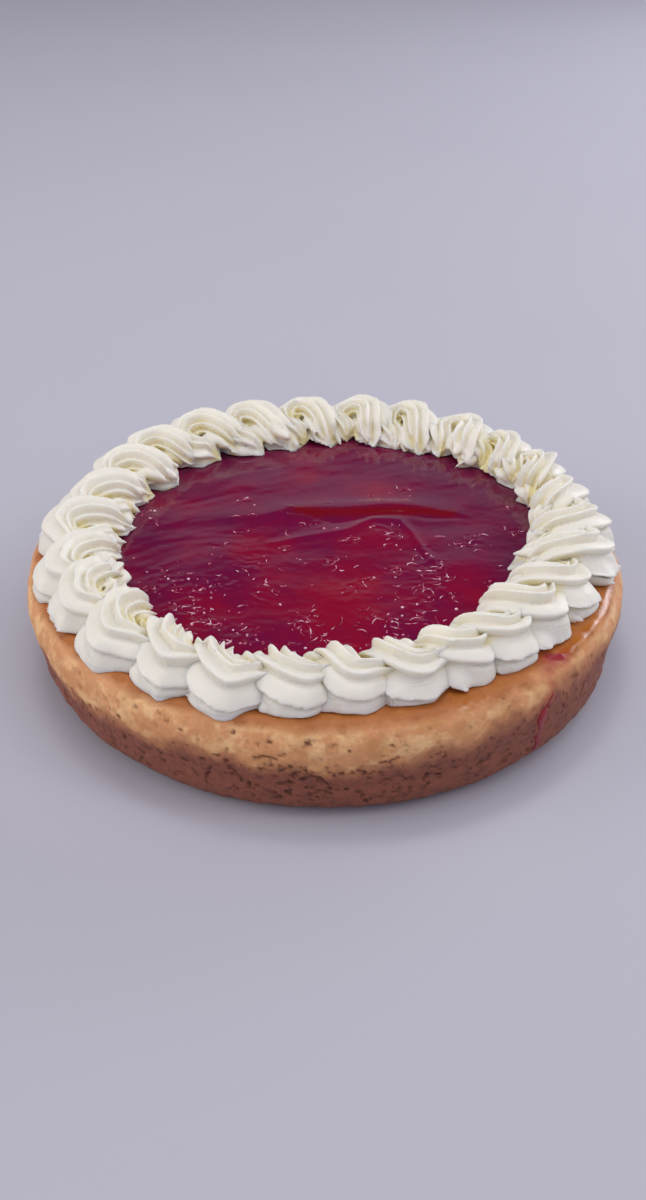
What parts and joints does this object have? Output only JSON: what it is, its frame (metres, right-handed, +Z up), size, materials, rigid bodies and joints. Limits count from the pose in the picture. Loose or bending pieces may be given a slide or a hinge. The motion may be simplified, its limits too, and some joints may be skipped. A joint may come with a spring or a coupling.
{
  "type": "strawberry cheesecake",
  "caption": "Whole uncut baked cheesecake with a thin uneven layer of strawberry jam on its top and a border of overlapping piped cream swirls round the edge.",
  "frame": {"origin": "on the surface that the cake stands on, under the middle of its flat base", "axes": "+Z up through the cake; the front of the cake faces -Y and +X is to its right"},
  "size_m": [0.25, 0.2498, 0.0654],
  "materials": {
    "cheesecake": "baked crust: light tan above, browner towards the foot, slightly glossy golden top edge",
    "jam": "wet glossy dark strawberry jam with small bubbles and lumps",
    "cream": "soft satin whipped cream, warm off-white"
  },
  "bodies": {
    "root": {"cheesecake_body": "cheesecake", "jam_layer": "jam", "cream_swirl_01": "cream", "cream_swirl_02": "cream", "cream_swirl_03": "cream", "cream_swirl_04": "cream", "cream_swirl_05": "cream", "cream_swirl_06": "cream", "cream_swirl_07": "cream", "cream_swirl_08": "cream", "cream_swirl_09": "cream", "cream_swirl_10": "cream", "cream_swirl_11": "cream", "cream_swirl_12": "cream", "cream_swirl_13": "cream", "cream_swirl_14": "cream", "cream_swirl_15": "cream", "cream_swirl_16": "cream", "cream_swirl_17": "cream", "cream_swirl_18": "cream", "cream_swirl_19": "cream", "cream_swirl_20": "cream", "cream_swirl_21": "cream", "cream_swirl_22": "cream", "cream_swirl_23": "cream", "cream_swirl_24": "cream", "cream_swirl_25": "cream", "cream_swirl_26": "cream", "cream_swirl_27": "cream"}
  },
  "joints": []
}
